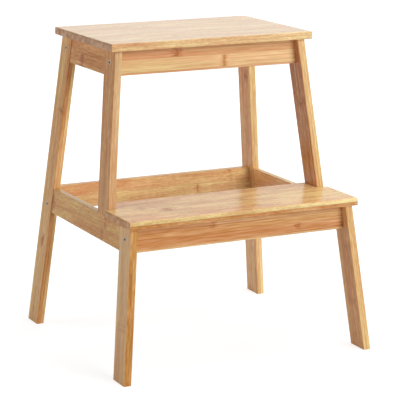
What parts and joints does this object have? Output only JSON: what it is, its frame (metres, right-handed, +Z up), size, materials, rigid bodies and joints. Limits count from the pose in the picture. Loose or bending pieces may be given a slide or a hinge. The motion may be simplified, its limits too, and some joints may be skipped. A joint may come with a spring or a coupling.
{
  "type": "step stool",
  "caption": "Rigid bamboo step stool: splayed side frames of flat bars, joined by cross rails, carry a notched lower step board and a higher top board to stand or sit on.",
  "frame": {"origin": "on the floor, at the centre of the stool's outline seen from above", "axes": "+Z up, the front with the step faces -Y, +X to the right as seen from the front"},
  "size_m": [0.424, 0.398, 0.49],
  "materials": {
    "bamboo": "clear satin lacquer",
    "dowel_wood": "raw",
    "zinc_steel": "zinc plated"
  },
  "bodies": {
    "root": {"top_board": "bamboo", "step_board": "bamboo", "top_front_rail": "bamboo", "top_rear_rail": "bamboo", "step_front_rail": "bamboo", "step_rear_rail": "bamboo", "right_rear_leg": "bamboo", "right_upper_front_leg": "bamboo", "right_lower_front_leg": "bamboo", "right_top_side_rail": "bamboo", "right_step_side_rail": "bamboo", "left_rear_leg": "bamboo", "left_upper_front_leg": "bamboo", "left_lower_front_leg": "bamboo", "left_top_side_rail": "bamboo", "left_step_side_rail": "bamboo", "right_side_rail_dowels": "dowel_wood", "right_upper_leg_dowels": "dowel_wood", "right_cross_rail_dowels": "dowel_wood", "left_side_rail_dowels": "dowel_wood", "left_upper_leg_dowels": "dowel_wood", "left_cross_rail_dowels": "dowel_wood", "right_frame_screws": "zinc_steel", "left_frame_screws": "zinc_steel", "top_board_screws": "zinc_steel", "step_board_screws": "zinc_steel"}
  },
  "joints": []
}
